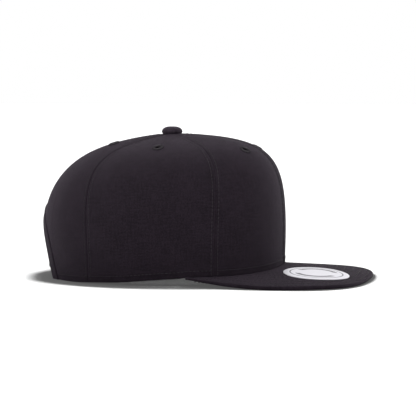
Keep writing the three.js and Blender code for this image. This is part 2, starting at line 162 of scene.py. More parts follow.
def makeTwillGroup():
    form = weaveForm
    group, given, out = newGroup(
        "twillWeave",
        [
            ("Map", "NodeSocketVector", None),
            ("Rib Pitch", "NodeSocketFloat", 0.0008),
            ("Dark", "NodeSocketColor", (0.01, 0.01, 0.01, 1)),
            ("Light", "NodeSocketColor", (0.03, 0.03, 0.03, 1)),
            ("Rib Contrast", "NodeSocketFloat", 0.3),
        ],
        [
            ("Color", "NodeSocketColor"),
            ("Height", "NodeSocketFloat"),
            ("Roughness", "NodeSocketFloat"),
        ],
    )
    turn = 2 * math.pi
    split = addNode(group, "ShaderNodeSeparateXYZ")
    group.links.new(given["Map"], split.inputs[0])
    along = mathNode(group, "ADD", split.outputs["X"], split.outputs["Y"])
    ribTurns = mathNode(group, "DIVIDE", along, given["Rib Pitch"])
    rib = mathNode(group, "SINE", mathNode(group, "MULTIPLY", ribTurns, turn))
    steep = mathNode(group, "MULTIPLY", split.outputs["Y"], form["slant"])
    over = mathNode(group, "SUBTRACT", split.outputs["X"], steep)
    threadTurns = mathNode(group, "DIVIDE", over, given["Rib Pitch"])
    thread = mathNode(group, "SINE", mathNode(group, "MULTIPLY", threadTurns, turn))
    lint = noiseIn(group, given["Map"], form["lint"], 3.0)
    tone = noiseIn(group, given["Map"], form["patches"], 4.0)
    slubs = []
    short, long = form["slubs"]
    for stretch in ((short, long, 1), (long, short, 1)):
        longer = addNode(group, "ShaderNodeVectorMath", operation="MULTIPLY")
        group.links.new(given["Map"], longer.inputs[0])
        longer.inputs[1].default_value = stretch
        slubs.append(mathNode(group, "SUBTRACT", noiseIn(group, longer.outputs[0], 1.0), 0.5))
    ribs = mathNode(group, "MULTIPLY", rib, form["ribHeight"])
    weave = mathNode(group, "ADD", ribs, mathNode(group, "MULTIPLY", thread, form["threadHeight"]))
    group.links.new(mathNode(group, "ADD", weave, lint), out["Height"])
    ribMask = mathNode(group, "MULTIPLY", weave, given["Rib Contrast"])
    lintMask = mathNode(group, "MULTIPLY", mathNode(group, "SUBTRACT", lint, 0.5), form["lintTone"])
    toneMask = mathNode(group, "MULTIPLY", mathNode(group, "SUBTRACT", tone, 0.5), form["patchTone"])
    toneMask = mathNode(group, "ADD", toneMask, mathNode(group, "ADD", slubs[0], slubs[1]))
    spots = mathNode(group, "ADD", lintMask, toneMask)
    mask = mathNode(group, "ADD", mathNode(group, "ADD", ribMask, 0.5), spots)
    clamp = addNode(group, "ShaderNodeClamp")
    group.links.new(mask, clamp.inputs["Value"])
    mix = addNode(group, "ShaderNodeMix", data_type="RGBA")
    group.links.new(clamp.outputs[0], mix.inputs["Factor"])
    group.links.new(given["Dark"], mix.inputs["A"])
    group.links.new(given["Light"], mix.inputs["B"])
    group.links.new(mix.outputs["Result"], out["Color"])
    group.links.new(scaled(group, lint, form["roughening"], form["smoothest"]), out["Roughness"])
    return group


twillGroup = makeTwillGroup()


def principledIn(material):
    material.use_nodes = True
    return material.node_tree, material.node_tree.nodes["Principled BSDF"]


def mapSource(tree, source):
    if source == "object":
        return addNode(tree, "ShaderNodeTexCoord").outputs["Object"]
    return addNode(tree, "ShaderNodeAttribute", attribute_name=source).outputs["Vector"]


def makeCloth(name, look):
    material = bpy.data.materials.new(name)
    tree, shader = principledIn(material)
    weave = addNode(tree, "ShaderNodeGroup", node_tree=twillGroup)
    tree.links.new(mapSource(tree, look["map"]), weave.inputs["Map"])
    weave.inputs["Rib Pitch"].default_value = look["ribPitch"]
    weave.inputs["Dark"].default_value = (*look["dark"], 1)
    weave.inputs["Light"].default_value = (*look["light"], 1)
    weave.inputs["Rib Contrast"].default_value = look["ribContrast"]
    tree.links.new(weave.outputs["Color"], shader.inputs["Base Color"])
    tree.links.new(weave.outputs["Roughness"], shader.inputs["Roughness"])
    addBump(tree, shader, weave.outputs["Height"], look["bump"], weaveForm["bumpDepth"])
    shader.inputs["Specular IOR Level"].default_value = look["specular"]
    shader.inputs["Sheen Weight"].default_value = look["sheen"]
    shader.inputs["Sheen Roughness"].default_value = look["sheenRoughness"]
    shader.inputs["Sheen Tint"].default_value = (*look["sheenTint"], 1)
    return material


# The crown's twill, and what the other cloths have different from it
twillLook = {
    "map": "clothMap", "ribPitch": 0.0008, "dark": (0.0035, 0.0018, 0.0037), "light": (0.0113, 0.0074, 0.0117),
    "ribContrast": 0.45, "bump": 0.5, "specular": 0.09, "sheen": 0.055, "sheenRoughness": 0.45,
    "sheenTint": (0.9, 0.72, 0.95),
}
crownCloth = makeCloth("crownTwill", twillLook)
visorCloth = makeCloth("visorTwill", {
    **twillLook, "dark": (0.0037, 0.002, 0.0039), "light": (0.0116, 0.0077, 0.0121),
    "specular": 0.08, "sheen": 0.05,
})
buttonCloth = makeCloth("buttonTwill", {
    **twillLook, "map": "object", "dark": (0.0068, 0.004, 0.0072), "light": (0.024, 0.0175, 0.025),
    "bump": 0.45, "specular": 0.12, "sheen": 0.07,
})
tapeCloth = makeCloth("bindingTape", {
    **twillLook, "ribPitch": 0.0006, "dark": (0.0048, 0.0028, 0.0051), "light": (0.013, 0.0088, 0.0136),
    "ribContrast": 0.7, "sheen": 0.05,
})
bandCloth = makeCloth("sweatbandCotton", {
    **twillLook, "ribPitch": 0.001, "dark": (0.0055, 0.0048, 0.0057), "light": (0.0145, 0.013, 0.0148),
    "ribContrast": 0.35, "bump": 0.4, "specular": 0.1, "sheen": 0.06, "sheenRoughness": 0.5,
    "sheenTint": (0.86, 0.82, 0.9),
})


# Thread: light and dark plies that follow each other along a stitch
def makeThread():
    look = {
        "dark": (0.0038, 0.002, 0.004), "light": (0.0108, 0.0072, 0.0112), "plyPitch": 0.0007,
        "roughness": 0.55, "specular": 0.18, "sheen": 0.05, "bump": 0.4, "bumpDepth": 0.0002,
    }
    material = bpy.data.materials.new("sewingThread")
    tree, shader = principledIn(material)
    split = addNode(tree, "ShaderNodeSeparateXYZ")
    tree.links.new(mapSource(tree, "object"), split.inputs[0])
    total = mathNode(tree, "ADD", split.outputs["X"], split.outputs["Y"])
    total = mathNode(tree, "ADD", total, split.outputs["Z"])
    turns = mathNode(tree, "MULTIPLY", mathNode(tree, "DIVIDE", total, look["plyPitch"]), 2 * math.pi)
    ply = scaled(tree, mathNode(tree, "SINE", turns), 0.5, 0.5)
    tree.links.new(mixNode(tree, ply, look["dark"], look["light"]), shader.inputs["Base Color"])
    addBump(tree, shader, ply, look["bump"], look["bumpDepth"])
    shader.inputs["Roughness"].default_value = look["roughness"]
    shader.inputs["Specular IOR Level"].default_value = look["specular"]
    shader.inputs["Sheen Weight"].default_value = look["sheen"]
    return material


def makePlastic():
    look = {
        "dark": (0.011, 0.011, 0.012), "light": (0.018, 0.018, 0.0195), "grain": 900.0, "scuffs": 120.0,
        "smoothest": 0.25, "roughening": 0.25, "bump": 0.12, "bumpDepth": 0.0002,
    }
    material = bpy.data.materials.new("strapPlastic")
    tree, shader = principledIn(material)
    where = mapSource(tree, "object")
    grain = noiseIn(tree, where, look["grain"], 3.0)
    scuffs = noiseIn(tree, where, look["scuffs"], 5.0)
    tree.links.new(mixNode(tree, scuffs, look["dark"], look["light"]), shader.inputs["Base Color"])
    tree.links.new(scaled(tree, scuffs, look["roughening"], look["smoothest"]), shader.inputs["Roughness"])
    addBump(tree, shader, grain, look["bump"], look["bumpDepth"])
    return material


sewingThread = makeThread()
strapPlastic = makePlastic()
print("cloth, thread and plastic ready")


# Crown form. The three values in a tuple are for the front, the side and the back.
crownForm = {
    "front": 91.6, "back": 101.2, "halfWidth": 80.0, "height": 116.9, "wall": 1.8,
    "squareness": 2.3, "puff": 0.9, "topHole": 3.0, "rimDownAt": 142.0, "visorRootAt": 70.0,
    "seatGap": 0.3, "lean": (0.03, 0.14, 0.25), "upright": (0.85, 0.8, 0.85),
    "roof": (0.955, 0.72, 0.485), "droop": (0.032, 0.09, 0.05),
}
visorForm = {
    "reach": 71.5, "halfWidth": 88.0, "widestX": 88.0, "rootStep": 2.0, "spread": 0.42,
    "thickness": 3.2, "camber": 8.4, "camberPower": 1.67, "frontFlatness": 0.4, "fall": 3.1,
    "tipDrop": 4.8, "tipPower": 4, "cornerFullness": 0.76, "edgeRound": 1.4,
}


def bezier(handles, share):
    a, b, c, d = handles
    rest = 1 - share
    return a * rest ** 3 + b * (3 * rest * rest * share) + c * (3 * rest * share * share) + d * share ** 3


def polar(radius, azimuth, height=0.0):
    angle = math.radians(azimuth)
    return Vector((radius * math.cos(angle), radius * math.sin(angle), height))


def formValue(column, azimuth):
    front, side, back = crownForm[column]
    angle = math.radians(azimuth)
    mean = (front + back) / 4 + side / 2
    pinch = (front + back) / 4 - side / 2
    return mean + (front - back) / 2 * math.cos(angle) + pinch * math.cos(2 * angle)


def rimRadius(azimuth):
    ahead = math.cos(math.radians(azimuth))
    aside = abs(math.sin(math.radians(azimuth)))
    power = 2 + (crownForm["squareness"] - 2) * max(0.0, ahead)
    length = crownForm["front"] if ahead > 0 else crownForm["back"]
    return ((abs(ahead) / length) ** power + (aside / crownForm["halfWidth"]) ** power) ** (-1 / power)


# Half of the visor's outline, from its root beside the crown to its tip, evenly spaced along it
def traceVisorEdge():
    root = polar(rimRadius(crownForm["visorRootAt"]) + visorForm["rootStep"], crownForm["visorRootAt"])
    widest = Vector((visorForm["widestX"], visorForm["halfWidth"], 0))
    tip = Vector((crownForm["front"] + visorForm["reach"], 0, 0))
    run = (widest.x - root.x) / 3
    spread = (widest.y - root.y) * visorForm["spread"]
    full = visorForm["cornerFullness"]
    side = (root, root + Vector((run, spread, 0)), widest - Vector((run, 0, 0)), widest)
    ahead, aside = Vector((full * (tip.x - widest.x), 0, 0)), Vector((0, full * widest.y, 0))
    corner = (widest, widest + ahead, tip + aside, tip)
    fine = [bezier(side, i / 200) for i in range(200)] + [bezier(corner, i / 200) for i in range(201)]
    lengths = [0.0]
    for first, second in zip(fine, fine[1:]):
        lengths.append(lengths[-1] + (second - first).length)
    return fine, lengths


edgePoints, edgeLengths = traceVisorEdge()


def visorEdgeAt(share):
    wanted = share * edgeLengths[-1]
    low, high = 0, len(edgeLengths) - 1
    while high - low > 1:
        middle = (low + high) // 2
        if edgeLengths[middle] < wanted:
            low = middle
        else:
            high = middle
    part = (wanted - edgeLengths[low]) / (edgeLengths[high] - edgeLengths[low])
    return edgePoints[low].lerp(edgePoints[high], part)


# The visor's top before it is lowered on to the floor: it arches across, and turns down at the tip
def visorShape(x, y):
    out = (x - crownForm["front"]) / visorForm["reach"]
    forward = max(0.0, out)
    arch = visorForm["camber"] * abs(y / visorForm["halfWidth"]) ** visorForm["camberPower"]
    fall = visorForm["fall"] * out + visorForm["tipDrop"] * forward ** visorForm["tipPower"]
    return -fall - arch * (1 - visorForm["frontFlatness"] * forward)


# Plan of the visor: across runs from -1 at the left root to 1 at the right one, out from crown to edge
def visorPlan(across, out):
    azimuth = crownForm["visorRootAt"] * abs(across)
    outer = visorEdgeAt(1 - abs(across))
    inner = polar(rimRadius(azimuth) - crownForm["wall"], azimuth)
    point = inner.lerp(outer, out)
    point.y *= -1 if across > 0 else 1
    return point


def findVisorLift():
    lowest = 0.0
    for step in range(-40, 41):
        width = (visorPlan(step / 40, 1) - visorPlan(step / 40, 0)).length
        point = visorPlan(step / 40, 1 - visorForm["edgeRound"] / width)
        lowest = min(lowest, visorShape(point.x, point.y))
    return visorForm["thickness"] - lowest


visorLift = findVisorLift()


def visorTop(x, y):
    return visorLift + visorShape(x, y)


def rimHeight(azimuth, inset):
    turn = abs(azimuth if azimuth <= 180 else 360 - azimuth)
    held = min(turn, crownForm["visorRootAt"])
    onVisor = polar(rimRadius(held) - inset, held)
    down = smoothstep(turn, crownForm["visorRootAt"], crownForm["rimDownAt"])
    return (visorTop(onVisor.x, onVisor.y) + crownForm["seatGap"]) * (1 - down)


def crownHandles(azimuth, inset):
    radius = rimRadius(azimuth) - inset
    bottom = rimHeight(azimuth, inset)
    top = crownForm["height"] - inset
    height = top - bottom
    hole = crownForm["topHole"]
    lean, upright = formValue("lean", azimuth), formValue("upright", azimuth)
    roof, droop = formValue("roof", azimuth), formValue("droop", azimuth)
    return (
        Vector((radius, bottom)),
        Vector((radius * (1 + lean), bottom + upright * height)),
        Vector((hole + roof * (radius - hole), top - droop * height)),
        Vector((hole, top)),
    )


def crownPoint(azimuth, up, inset):
    onProfile = bezier(crownHandles(azimuth, inset), up)
    return polar(onProfile.x, azimuth, onProfile.y)


# The share of the way up at which a profile reaches a height
def upAtHeight(azimuth, height, inset, high=0.6):
    handles = crownHandles(azimuth, inset)
    low = 0.0
    for _ in range(26):
        middle = (low + high) / 2
        if bezier(handles, middle).y < height:
            low = middle
        else:
            high = middle
    return low


def crownPointAtHeight(azimuth, height, inset):
    up = upAtHeight(azimuth, height, inset)
    return polar(bezier(crownHandles(azimuth, inset), up).x, azimuth, height)


# Panels: the seams sink between raised allowances and grow shallower towards the button. The stitch
# lines pull the cloth in a little.
seamForm = {
    "cloth": 1.5, "overlap": 0.1, "depth": 0.55, "width": 0.45, "allowance": 3.4, "allowanceFade": 1.6,
    "rise": 0.08, "stitchAt": 2.6, "stitchWidth": 0.45, "pull": 0.08, "topFade": 0.55, "fadeUp": (0.45, 0.8),
    "hemHeight": 6.0, "hemFade": 1.2, "hemRise": 0.28, "hemStitchAt": 5.0, "hemStitchWidth": 0.5,
    "hemRound": 0.9, "hemFold": 0.8, "hemShare": 0.06, "sag": 0.45, "sagSize": 42.0,
    "slackBeside": (2, 16), "slackAbove": (0.03, 0.16), "slackBelow": (0.8, 0.97),
    "tuck": 0.5, "tuckBeside": 1.9, "tuckStart": (66, 76), "tuckEnd": (95, 130),
    "visorEnd": (100, 130), "tuckUp": 0.12,
}
seamCourses = {
    "centreFront": (0, 0, 0, 0), "front": (54.5, 57, 42, 60),
    "back": (127, 119, 156, 122), "centreBack": (180, 180, 180, 180),
}
panels = {
    "front": {"from": "centreFront", "to": "front", "sag": 0.25},
    "side": {"from": "front", "to": "back", "sag": 1.0},
    "back": {"from": "back", "to": "centreBack", "sag": 1.0},
}
seamSteps = (0, 0.3, 0.65, 1.0, 1.4, 1.9, 2.3, 2.6, 2.9, 3.3, 3.8, 4.4, 5.4, 7, 9, 12, 16, 21, 27, 34)


# Azimuth of a seam at a share of the way up
def seamAzimuth(name, up):
    return bezier(seamCourses[name], up)


def panelAzimuth(panel, across, up):
    start = seamAzimuth(panel["from"], up)
    return start + (seamAzimuth(panel["to"], up) - start) * across


def panelWidth(panel, up):
    steps = 6
    points = [crownPoint(panelAzimuth(panel, i / steps, up), up, 0) for i in range(steps + 1)]
    return sum((b - a).length for a, b in zip(points, points[1:]))


def fadeBeyond(value, start, length):
    return 1 - smoothstep(value, start, start + length)


def bell(offset, width):
    return math.exp(-(offset / width) ** 2)


def seamRelief(distance):
    form = seamForm
    groove = -form["depth"] * bell(distance, form["width"])
    raised = form["rise"] * fadeBeyond(distance, form["allowance"], form["allowanceFade"])
    pulled = -form["pull"] * bell(distance - form["stitchAt"], form["stitchWidth"])
    return groove + raised + pulled


def hemRelief(height):
    form = seamForm
    raised = form["hemRise"] * fadeBeyond(height, form["hemHeight"], form["hemFade"])
    pulled = -form["pull"] * bell(height - form["hemStitchAt"], form["hemStitchWidth"])
    rolled = -form["hemFold"] * fadeBeyond(height, 0, form["hemRound"]) ** 2
    return raised + pulled + rolled


# How far the hem hangs below the plain rim: a little on the visor, more beside its root
def hemTuck(azimuth, up):
    form = seamForm
    beside = smoothstep(azimuth, *form["tuckStart"]) * (1 - smoothstep(azimuth, *form["tuckEnd"]))
    onVisor = 1 - smoothstep(azimuth, *form["visorEnd"])
    drop = form["tuck"] * onVisor + (form["tuckBeside"] - form["tuck"]) * beside
    return drop * (1 - smoothstep(up, 0.0, form["tuckUp"]))


# A point of a panel's outer face. Side is 1 on the left, and lift stands off the cloth.
def panelPoint(panel, side, across, up, width, lift=0.0):
    form = seamForm
    azimuth = panelAzimuth(panel, across, up)
    point = crownPoint(azimuth, up, 0)
    outward = crownPoint(azimuth, up, -1) - point
    fromSeam = min(across, 1 - across) * width
    height = point.z - rimHeight(azimuth, 0) if up < form["hemShare"] else math.inf
    puff = crownForm["puff"] * math.sin(math.pi * across) * math.sqrt(max(0.0, math.sin(math.pi * up)))
    slack = smoothstep(fromSeam, *form["slackBeside"]) * smoothstep(up, *form["slackAbove"])
    slack *= 1 - smoothstep(up, *form["slackBelow"])
    spot = Vector((point.x, point.y * side, point.z)) / form["sagSize"]
    sag = form["sag"] * panel["sag"] * slack * noise.noise(spot)
    faded = 1 - form["topFade"] * smoothstep(up, *form["fadeUp"])
    moved = point + outward * (puff + seamRelief(fromSeam) * faded + hemRelief(height) + sag + lift)
    half = form["overlap"] / 2
    moved -= polar(half, panelAzimuth(panel, 0, up) + 90) * (1 - across)
    moved += polar(half, panelAzimuth(panel, 1, up) + 90) * across
    moved.y *= side
    moved.z -= hemTuck(azimuth, up)
    return moved


def gridFaces(columns, rows):
    faces = []
    for i in range(columns - 1):
        for j in range(rows - 1):
            corner = i * rows + j
            faces.append((corner, corner + rows, corner + rows + 1, corner + 1))
    return faces


# A mesh from points in millimetres, with the flat cloth's own coordinates kept on its points
def clothMesh(name, points, faces, flat=None):
    mesh = bpy.data.meshes.new(name)
    mesh.from_pydata([place(p) for p in points], [], faces)
    layer = mesh.attributes.new("clothMap", "FLOAT_VECTOR", "POINT")
    flat = flat or [(0, 0)] * len(points)
    layer.data.foreach_set("vector", [c * millimetre for uv in flat for c in (uv[0], uv[1], 0.0)])
    mesh.update()
    piece = bpy.data.objects.new(name, mesh)
    bpy.context.scene.collection.objects.link(piece)
    return piece


def turnOutwards(piece):
    pick(piece)
    bpy.ops.object.mode_set(mode="EDIT")
    bpy.ops.mesh.select_all(action="SELECT")
    bpy.ops.mesh.normals_make_consistent(inside=False)
    bpy.ops.object.mode_set(mode="OBJECT")


def acrossSteps(width):
    near = [step / width for step in seamSteps if step / width < 0.47]
    return near + [0.5] + [1 - share for share in reversed(near)]


def upSteps():
    hem = [0, 0.0008, 0.0018, 0.003, 0.0055, 0.009, 0.0125, 0.0155, 0.018, 0.0205, 0.023, 0.026, 0.031, 0.04]
    hemTop, count = 0.052, 72
    return hem + [hemTop + (1 - hemTop) * i / count for i in range(count + 1)]


def makePanelSheet(panelName, side):
    panel = panels[panelName]
    acrosses = acrossSteps(panelWidth(panel, 0.05))
    ups = upSteps()
    widths = [panelWidth(panel, up) for up in ups]
    centreLine = [crownPoint(panelAzimuth(panel, 0.5, up), up, 0) for up in ups]
    lengths = [0.0]
    for first, second in zip(centreLine, centreLine[1:]):
        lengths.append(lengths[-1] + (second - first).length)
    points, flat = [], []
    for across in acrosses:
        for up, width, length in zip(ups, widths, lengths):
            points.append(panelPoint(panel, side, across, up, width))
            flat.append(((across - 0.5) * width * side, length))
    faces = gridFaces(len(acrosses), len(ups))
    piece = clothMesh(f"{panelName}_cloth_{sideNames[side]}", points, faces, flat)
    # Both sides pass through edit mode, without which the modifiers lose the cloth's coordinates
    pick(piece)
    bpy.ops.object.mode_set(mode="EDIT")
    bpy.ops.mesh.select_all(action="SELECT")
    if side < 0:
        bpy.ops.mesh.flip_normals()
    bpy.ops.object.mode_set(mode="OBJECT")
    thickness = seamForm["cloth"] * millimetre
    applyModifier(piece, "SOLIDIFY", thickness=thickness, offset=-1, use_quality_normals=True)
    return piece


# Tools that cut the cloth: one round punch for each eyelet, one arch for the back opening
openingForm = {
    "halfWidth": 38.0, "height": 52.0, "spring": 14.0, "tape": 8.0, "lip": 1.4, "below": 10.0,
    "cut": (-140, -60),
}
eyeletForm = {
    "radius": 4.6, "hole": 1.8, "threads": 34, "swell": 0.16, "flatness": 0.5, "lift": 0.1,
    "punch": 2.6, "punchLength": 16.0,
}
eyeletPlaces = {"front": (22.5, 0.61), "side": (91.5, 0.71), "back": (158.0, 0.71)}


def eyeletSeat(panelName, side):
    azimuth, up = eyeletPlaces[panelName]
    panel = panels[panelName]
    width = panelWidth(panel, up)
    start = seamAzimuth(panel["from"], up)
    across = (azimuth - start) / (seamAzimuth(panel["to"], up) - start)
    centre = panelPoint(panel, side, across, up, width)
    along = panelPoint(panel, side, across, up + 0.01, width) - centre
    around = panelPoint(panel, side, across + 0.03, up, width) - centre
    normal = around.cross(along) * side
    turn = normal.normalized().to_track_quat("Z", "Y").to_matrix().to_4x4()
    return Matrix.Translation(place(centre)) @ turn


def punchEyelet(piece, panelName, side):
    deselectAll()
    bpy.ops.mesh.primitive_cylinder_add(
        vertices=24, radius=eyeletForm["punch"] * millimetre, depth=eyeletForm["punchLength"] * millimetre)
    punch = bpy.context.object
    punch.matrix_world = eyeletSeat(panelName, side)
    applyModifier(piece, "BOOLEAN", object=punch, operation="DIFFERENCE", solver="EXACT")
    bpy.data.objects.remove(punch)


def openingPoint(share, grown):
    form = openingForm
    half = form["halfWidth"] + grown
    rise = form["height"] - form["spring"] + grown
    leg = form["spring"]
    arch = math.pi * (half + rise) / 2
    total = 2 * leg + arch
    walked = share * total
    if walked < leg:
        return Vector((half, walked))
    if walked > leg + arch:
        return Vector((-half, total - walked))
    angle = math.pi * (walked - leg) / arch
    return Vector((half * math.cos(angle), leg + rise * math.sin(angle)))


def makeOpeningTool():
    outline = [openingPoint(i / 60, 0) for i in range(61)]
    below = -openingForm["below"]
    outline = [Vector((outline[0].x, below))] + outline + [Vector((outline[-1].x, below))]
    points = [Vector((x, p.x, p.y)) for x in openingForm["cut"] for p in outline]
    count = len(outline)
    faces = [tuple(range(count)), tuple(reversed(range(count, 2 * count)))]
    for i in range(count):
        after = (i + 1) % count
        faces.append((i, i + count, after + count, after))
    tool = clothMesh("openingTool", points, faces)
    turnOutwards(tool)
    return tool


openingTool = makeOpeningTool()
for side in (1, -1):
    for panelName in panels:
        cloth = makePanelSheet(panelName, side)
        punchEyelet(cloth, panelName, side)
        if panelName == "back":
            applyModifier(
                cloth, "BOOLEAN", object=openingTool, operation="DIFFERENCE", solver="EXACT", use_self=True)
        dress(cloth, crownCloth, [f"{panelName}_panel_{sideNames[side]}"], smoothAngle=50)
bpy.data.objects.remove(openingTool)
print("six crown panels sewn up")


# Button: a covered dome, wider than its foot
def makeButton():
    form = {
        "radius": 8.6, "foot": 7.4, "sink": 1.7, "footHeight": 1.3, "neck": 0.96, "neckHeight": 2.2,
        "waist": 3.1, "dome": 4.3, "fullness": 0.75, "segments": 48,
    }
    base = crownForm["height"] - form["sink"]
    rings = [(form["foot"], form["footHeight"]), (form["radius"] * form["neck"], form["neckHeight"])]
    rings.append((form["radius"], form["waist"]))
    for tilt in (20, 38, 54, 68, 80):
        angle = math.radians(tilt)
        reach = form["radius"] * math.cos(angle) ** form["fullness"]
        rings.append((reach, form["waist"] + form["dome"] * math.sin(angle)))
    deselectAll()
    bpy.ops.mesh.primitive_circle_add(
        vertices=form["segments"], radius=form["foot"] * millimetre, fill_type="NGON",
        location=place(Vector((0, 0, base))),
    )
    button = bpy.context.object
    button.name = "covered_button"
    bpy.ops.object.mode_set(mode="EDIT")
    bpy.ops.mesh.select_all(action="SELECT")
    radius, height = form["foot"], 0.0
    for nextRadius, nextHeight in rings:
        bpy.ops.mesh.extrude_region_move(
            TRANSFORM_OT_translate={"value": (0, 0, (nextHeight - height) * millimetre)})
        share = nextRadius / radius
        bpy.ops.transform.resize(value=(share, share, 1))
        radius, height = nextRadius, nextHeight
    bpy.ops.mesh.inset(thickness=radius * 0.5 * millimetre)
    bpy.ops.mesh.poke()
    bpy.ops.object.mode_set(mode="OBJECT")
    turnOutwards(button)
    applyModifier(button, "SUBSURF", levels=2, render_levels=2)
    dress(button, buttonCloth, ["crown_button"], smoothAngle=60)


makeButton()


# Eyelets: one ring of satin stitches, made once and set into each panel
def makeEyelets():
    form = eyeletForm
    middle = (form["radius"] + form["hole"]) / 2
    deselectAll()
    bpy.ops.mesh.primitive_torus_add(
        major_segments=form["threads"] * 3, minor_segments=12,
        major_radius=middle * millimetre, minor_radius=(form["radius"] - form["hole"]) / 2 * millimetre,
    )
    ring = bpy.context.object
    bpy.ops.object.mode_set(mode="EDIT")
    bpy.ops.mesh.select_all(action="SELECT")
    bpy.ops.transform.resize(value=(1, 1, form["flatness"]))
    bpy.ops.object.mode_set(mode="OBJECT")
    for vertex in ring.data.vertices:
        angle = math.atan2(vertex.co.y, vertex.co.x)
        swell = form["swell"] * millimetre * math.cos(angle * form["threads"])
        outward = Vector((vertex.co.x, vertex.co.y, 0)).normalized() * middle * millimetre
        vertex.co += (vertex.co - outward).normalized() * swell
    for side in (1, -1):
        for panelName in eyeletPlaces:
            sideName = sideNames[side]
            eyelet = bpy.data.objects.new(f"sewn_eyelet_{panelName}_{sideName}", ring.data.copy())
            bpy.context.scene.collection.objects.link(eyelet)
            lifted = Matrix.Translation((0, 0, form["lift"] * millimetre))
            eyelet.data.transform(eyeletSeat(panelName, side) @ lifted)
            dress(eyelet, sewingThread, [f"{panelName}_eyelet_{sideName}"], smoothAngle=60)
    bpy.data.objects.remove(ring)


makeEyelets()
print("button and eyelets in place")


# Stitches: one small spindle, copied along each row
stitchForm = {"pitch": 3.1, "length": 2.5, "radius": 0.3, "sink": 0.06, "lift": 0.1}


def makeStitchSeed():
    deselectAll()
    bpy.ops.mesh.primitive_uv_sphere_add(segments=6, ring_count=4, radius=1)
    seed = bpy.context.object
    bpy.ops.object.mode_set(mode="EDIT")
    bpy.ops.mesh.select_all(action="SELECT")
    bpy.ops.transform.resize(value=(stitchForm["radius"], stitchForm["radius"], stitchForm["length"] / 2))
    bpy.ops.object.mode_set(mode="OBJECT")
    shape = [v.co.copy() for v in seed.data.vertices], [tuple(p.vertices) for p in seed.data.polygons]
    bpy.data.objects.remove(seed)
    return shape


seedPoints, seedFaces = makeStitchSeed()


# Spots for the stitches of a row that follows a list of (point, normal) pairs
def stitchSpots(path):
    spots = []
    walked, wanted = 0.0, stitchForm["pitch"] / 2
    for (first, normal), (second, _) in zip(path, path[1:]):
        step = (second - first).length
        while step > 0 and walked + step >= wanted:
            point = first.lerp(second, (wanted - walked) / step)
            spots.append((point, (second - first).normalized(), normal))
            wanted += stitchForm["pitch"]
        walked += step
    return spots


def sewStitches(name, paths):
    points, faces = [], []
    for path in paths:
        for centre, along, normal in stitchSpots(path):
            aside = along.cross(normal).normalized()
            up = aside.cross(along).normalized()
            start = len(points)
            for p in seedPoints:
                points.append(centre + aside * p.x + up * (p.y - stitchForm["sink"]) + along * p.z)
            faces += [tuple(start + i for i in face) for face in seedFaces]
    piece = clothMesh(name, points, faces)
    turnOutwards(piece)
    dress(piece, sewingThread, smoothAngle=80)


# Where a stitch sits on a panel, and which way is out there
def stitchSeat(panel, side, across, up, width):
    here = panelPoint(panel, side, across, up, width)
    outward = (panelPoint(panel, side, across, up, width, 1.0) - here).normalized()
    return panelPoint(panel, side, across, up, width, stitchForm["lift"]), outward


def seamPath(panel, side, atEnd):
    path = []
    for i in range(150):
        up = 0.004 + 0.966 * i / 149
        width = panelWidth(panel, up)
        if width < 9:
            break
        share = seamForm["stitchAt"] / width
        across = 1 - share if atEnd else share
        path.append(stitchSeat(panel, side, across, up, width))
    return path


def hemPath(panel, side):
    path = []
    for i in range(60):
        across = 0.02 + 0.96 * i / 59
        azimuth = panelAzimuth(panel, across, 0.02)
        up = upAtHeight(azimuth, rimHeight(azimuth, 0) + seamForm["hemStitchAt"], 0, 0.1)
        width = panelWidth(panel, up)
        path.append(stitchSeat(panel, side, across, up, width))
    return path


def clearOfOpening(path):
    half = openingForm["halfWidth"] + openingForm["tape"]
    rise = openingForm["height"] - openingForm["spring"] + openingForm["tape"]

    def outside(point):
        if point.x > 0:
            return True
        over = max(0.0, point.z - openingForm["spring"])
        return (point.y / half) ** 2 + (over / rise) ** 2 > 1
    return [spot for spot in path if outside(spot[0])]


crownRows = []
for side in (1, -1):
    for panelName, panel in panels.items():
        for atEnd in (False, True):
            crownRows.append(clearOfOpening(seamPath(panel, side, atEnd)))
        crownRows.append(clearOfOpening(hemPath(panel, side)))
sewStitches("crown_stitching", crownRows)
print("crown topstitched")


# Visor: a stiff board in cloth, quilted in rows that run side by side with its edge
quiltForm = {
    "rows": 8, "first": 3.6, "pitch": 6.4, "depth": 0.3, "width": 0.8, "rootThin": 0.45,
    "edgeSeam": 0.28, "edgeSeamWidth": 0.6,
}
visorGrid = {"across": 150, "out": 96, "edge": 7, "endGap": 0.001}


def edgeDistance(x, y):
    best = 1e9
    for point in edgePoints[::4]:
        best = min(best, (point.x - x) ** 2 + (point.y - abs(y)) ** 2)
    return math.sqrt(best)


def quiltRelief(distance):
    form = quiltForm
    number = round((distance - form["first"]) / form["pitch"])
    if number < 0 or number >= form["rows"]:
        return 0.0
    off = distance - form["first"] - number * form["pitch"]
    return -form["depth"] * bell(off, form["width"])


def visorThickness(across):
    thin = smoothstep(abs(across), 0.8, 1.0)
    return visorForm["thickness"] * (1 - quiltForm["rootThin"] * thin)


